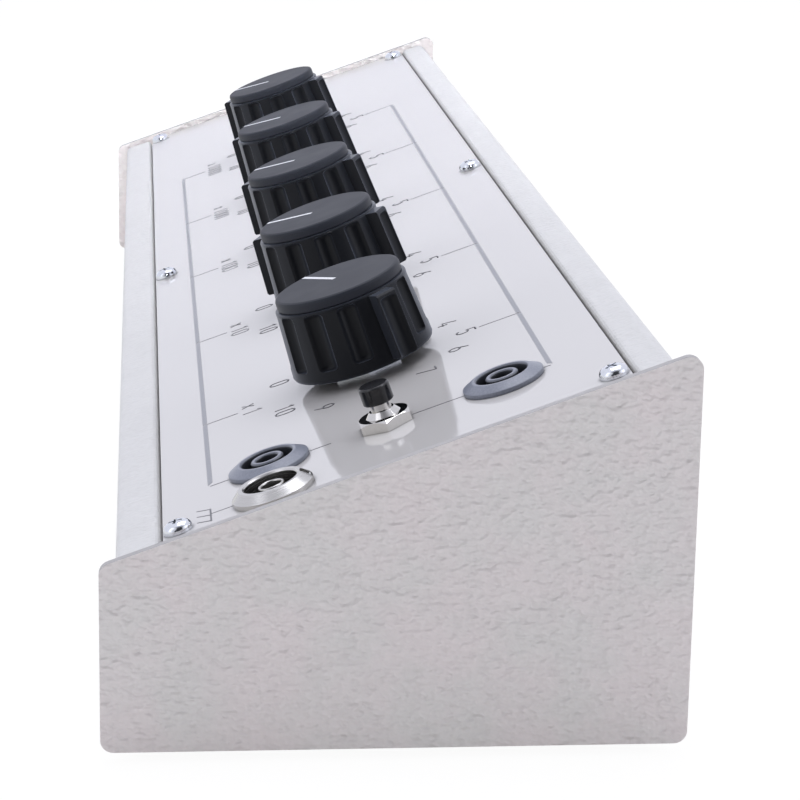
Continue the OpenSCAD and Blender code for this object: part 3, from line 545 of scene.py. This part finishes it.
# Rotary switches: black moulded housings that hang under the panel by their threaded bushings.
# The shafts are turned from steel, and zinc-plated nuts clamp the bushings from above, hidden by the knobs.
switch_plastic = moulding("switch_plastic", colour=(0.018, 0.018, 0.018), rough=0.5, grain=3000, depth=0.00001)
DECADES = range(1, len(KNOBS_X) + 1)
for number in DECADES:
    finish_node("switch_housing_%d" % number, switch_plastic)
    finish_node("switch_shaft_%d" % number, zinc)
finish_node("switch_nuts", zinc)


# Decade boards: green-coated laminate, soldered to the switch pins and carried by them.
# Each has four box capacitors in red moulded cases.
board_green = paint("board_green", colour=(0.03, 0.17, 0.07), speck=(0.02, 0.12, 0.05), rough=0.3, pebble=700,
                    height=0.00002)
capacitor_red = moulding("capacitor_red", colour=(0.45, 0.07, 0.05), rough=0.3, grain=900, depth=0.00002)
for number in DECADES:
    finish_node("decade_board_%d" % number, board_green)
    finish_node("capacitors_%d" % number, capacitor_red)


# Test sockets: two shrouded ones for 4 mm plugs, moulded in blue-grey plastic, with painted shade darkening it down
# in the recess.
# Each has a brass contact inside and is held by a zinc-plated nut under the panel.
socket_plastic = moulding("socket_plastic", colour=(0.20, 0.215, 0.26), rough=0.36, grain=2500, depth=0.00002,
                          edge=0.0005, gloss=0.6, shade=2.2, reach=0.006)
# Painted shade: the contacts' brass is coloured dark, as shade down in the socket holes.
contact_brass = metal("contact_brass", colour=(0.18, 0.15, 0.10), rough=0.4, scratch=0.2)
for side in ("front", "rear"):
    finish_node(side + "_socket", socket_plastic)
    finish_node(side + "_contact", contact_brass)
finish_node("socket_nuts", zinc)


# Chassis socket: turned from brass and nickel-plated, with a spanner notch in its bevel.
# The fine rings that the tool leaves are centred on the socket's own axis.
CHASSIS_X, CHASSIS_V = 0.2275, -0.024


def on_panel(u, v, w=0.0):
    """A point given in the panel's own directions."""
    return to_panel @ Vector((u, v, w))


turned_nickel = metal("turned_nickel", colour=(0.56, 0.55, 0.53), rough=0.24, scratch=0.9,
                      axis_at=on_panel(CHASSIS_X, CHASSIS_V))
finish_node("chassis_socket", turned_nickel)
finish_node("chassis_contact", turned_nickel)


# Push-button: its threaded bushing, hexagon nut and plunger are turned and chrome-plated.
# The cap is moulded in glossy black plastic and sits on the plunger.
chrome = metal("button_chrome", colour=(0.62, 0.605, 0.58), rough=0.07, scratch=0.05)
button_black = moulding("button_black", colour=(0.006, 0.006, 0.007), rough=0.12, grain=3000, depth=0.000004,
                        gloss=0.45)
for node in ("button_bushing", "button_nut", "button_plunger"):
    finish_node(node, chrome)
finish_node("button_cap", button_black)


# Button spring: wound from round steel wire between the plunger's collar and the bottom of the housing.
# In use the plunger pushes its upper end down and the coils close up; here it is wound at rest.
SPRING_LOW, SPRING_HIGH = -0.0144, -0.0045
COIL_RADIUS, WIRE_RADIUS = 0.0024, 0.00025
COILS = 5
STEPS_PER_COIL, WIRE_SIDES = 24, 12
wind_steps = STEPS_PER_COIL * COILS
rise = (SPRING_HIGH - SPRING_LOW - 2 * WIRE_RADIUS) / wind_steps
bm = bmesh.new()
lay = Matrix.Translation((COIL_RADIUS, 0, SPRING_LOW + WIRE_RADIUS)) @ Matrix.Rotation(math.pi / 2, 4, "X")
wire = bmesh.ops.create_circle(bm, segments=WIRE_SIDES, radius=WIRE_RADIUS, matrix=lay)["verts"]
bmesh.ops.spin(bm, geom=wire + bm.edges[:], axis=(0, 0, 1), cent=(0, 0, 0), dvec=(0, 0, rise), steps=wind_steps,
               angle=COILS * math.tau)
bmesh.ops.holes_fill(bm, edges=bm.edges, sides=0)
bmesh.ops.recalc_face_normals(bm, faces=bm.faces)
bmesh.ops.transform(bm, matrix=to_panel @ Matrix.Translation((SOCKETS_X, 0, 0)), verts=bm.verts)
spring = add_piece("button_return_spring", bm, zinc, smooth=True)
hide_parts("button_spring")
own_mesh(spring)


# Wiring: bare tinned copper wire, bent to shape and soldered at its ends.
# Two buses run along the boards to the sockets, and the earth wire joins the chassis socket to a lug
# under the nut of a foot.
tinned = metal("tinned_copper", colour=(0.66, 0.66, 0.67), rough=0.3, scratch=0.3)
for node in ("front_bus", "rear_bus", "earth_wire"):
    finish_node(node, tinned)


# Feet: moulded in black rubber, with a recess for the head of the screw.
# The zinc-plated screws pass through the base from below, and their nuts stand inside on it.
rubber = moulding("foot_rubber", colour=(0.02, 0.02, 0.02), rough=0.75, grain=1500, depth=0.00005)
finish_node("feet", rubber)
finish_node("foot_screws", zinc)
finish_node("foot_nuts", zinc)


# Floor: a wide pale table top that the object stands on, with its soft shadow.
# The camera sees most of it as plain white, and so do the gloss and metal that mirror it.
TABLE_REACH = 6
TABLE_GREY, TABLE_ROUGH = 0.85, 0.9
WHITE_GLOW, GLOW_SHARE = 1.03, 0.92
bm = bmesh.new()
bmesh.ops.create_grid(bm, x_segments=1, y_segments=1, size=TABLE_REACH)
mesh = bpy.data.meshes.new("table_top")
bm.to_mesh(mesh)
bm.free()
floor = bpy.data.objects.new("table_top", mesh)
bpy.context.scene.collection.objects.link(floor)
table = bpy.data.materials.new("table_white")
table.use_nodes = True
tree = table.node_tree
top_coat = tree.nodes["Principled BSDF"]
top_coat.inputs["Base Color"].default_value = (TABLE_GREY, TABLE_GREY, TABLE_GREY, 1)
top_coat.inputs["Roughness"].default_value = TABLE_ROUGH
glow = tree.nodes.new("ShaderNodeEmission")
glow.inputs["Strength"].default_value = WHITE_GLOW
ray = tree.nodes.new("ShaderNodeLightPath").outputs
seen = ray["Is Camera Ray"]
for mirrored in ("Is Glossy Ray", "Is Transmission Ray"):
    seen = reckoned(tree, "MAXIMUM", seen, ray[mirrored])
blend = tree.nodes.new("ShaderNodeMixShader")
tree.links.new(reckoned(tree, "MULTIPLY", seen, GLOW_SHARE), blend.inputs["Fac"])
tree.links.new(top_coat.outputs["BSDF"], blend.inputs[1])
tree.links.new(glow.outputs["Emission"], blend.inputs[2])
tree.links.new(blend.outputs["Shader"], tree.nodes["Material Output"].inputs["Surface"])
mesh.materials.append(table)


# Light: a bright white room that is dark on the camera's side, so that the knobs and the near plate keep their depth.
# Paint and metal mirror that same room, and the camera sees it as plain white behind the object.
# Large soft lamps stand on both sides and hang above, and a weak narrow one reaches the far end.
CAMERA_SIDE = (0.93, -0.08, 0.35)
DARK_ENDS = (0.42, 0.80)
ROOM_LIGHT = (1.0, 0.05)
ROOM_COLOUR = (0.95, 0.965, 1.075)
CAMERA_WHITE = 1.1
world = bpy.data.worlds.new("studio")
bpy.context.scene.world = world
world.use_nodes = True
tree = world.node_tree
room = tree.nodes["Background"]
way = tree.nodes.new("ShaderNodeTexCoord")
facing = tree.nodes.new("ShaderNodeVectorMath")
facing.operation = "DOT_PRODUCT"
facing.inputs[1].default_value = CAMERA_SIDE
tree.links.new(way.outputs["Generated"], facing.inputs[0])
dim = rescaled(tree, facing.outputs["Value"], DARK_ENDS, results=ROOM_LIGHT, smooth=True)
ray = tree.nodes.new("ShaderNodeLightPath").outputs
shown = tree.nodes.new("ShaderNodeMath")
shown.operation = "MULTIPLY_ADD"
shown.inputs[1].default_value = CAMERA_WHITE
tree.links.new(ray["Is Camera Ray"], shown.inputs[0])
tree.links.new(dim, shown.inputs[2])
room.inputs["Color"].default_value = (*ROOM_COLOUR, 1)
tree.links.new(shown.outputs["Value"], room.inputs["Strength"])
LAMP_COLOUR = (0.96, 0.975, 1.05)
ALL_ROUND = 180


def add_lamp(name, place, aim, size, power, spread=ALL_ROUND):
    """A square soft lamp that points at the object."""
    lamp = bpy.data.lights.new(name, "AREA")
    lamp.shape = "SQUARE"
    lamp.size = size
    lamp.energy = power
    lamp.spread = math.radians(spread)
    lamp.color = LAMP_COLOUR
    obj = bpy.data.objects.new(name, lamp)
    obj.location = place
    obj.rotation_euler = (Vector(aim) - Vector(place)).to_track_quat("-Z", "Y").to_euler()
    bpy.context.scene.collection.objects.link(obj)


add_lamp("lamp_left", place=(0.75, -0.95, 0.6), aim=(0, 0, 0.05), size=1.1, power=2.8)
add_lamp("lamp_right", place=(0.75, 0.95, 0.6), aim=(0, 0, 0.05), size=1.1, power=2.8)
add_lamp("lamp_top", place=(-0.05, 0, 0.75), aim=(-0.1, 0, 0.06), size=0.5, power=2.2)
add_lamp("lamp_far", place=(0.6, 0, 0.5), aim=(-0.24, 0, 0.05), size=0.2, power=0.08, spread=18)


# Camera: at the photograph's place, beyond the near end plate and a little above the knobs.
# Its long lens frames the box as the photograph does.
FOCAL_LENGTH, SENSOR_WIDTH = 123.05, 36
TILT, ROLL, HEADING = 75.622, -1.043, 84.746
lens = bpy.data.cameras.new("camera")
lens.lens = FOCAL_LENGTH
lens.sensor_width = SENSOR_WIDTH
lens.clip_start = 0.01
camera = bpy.data.objects.new("camera", lens)
camera.location = (0.71642, -0.04659, 0.19183)
camera.rotation_euler = [math.radians(angle) for angle in (TILT, ROLL, HEADING)]
bpy.context.scene.collection.objects.link(camera)
bpy.context.scene.camera = camera
bpy.context.scene.view_settings.view_transform = "Standard"
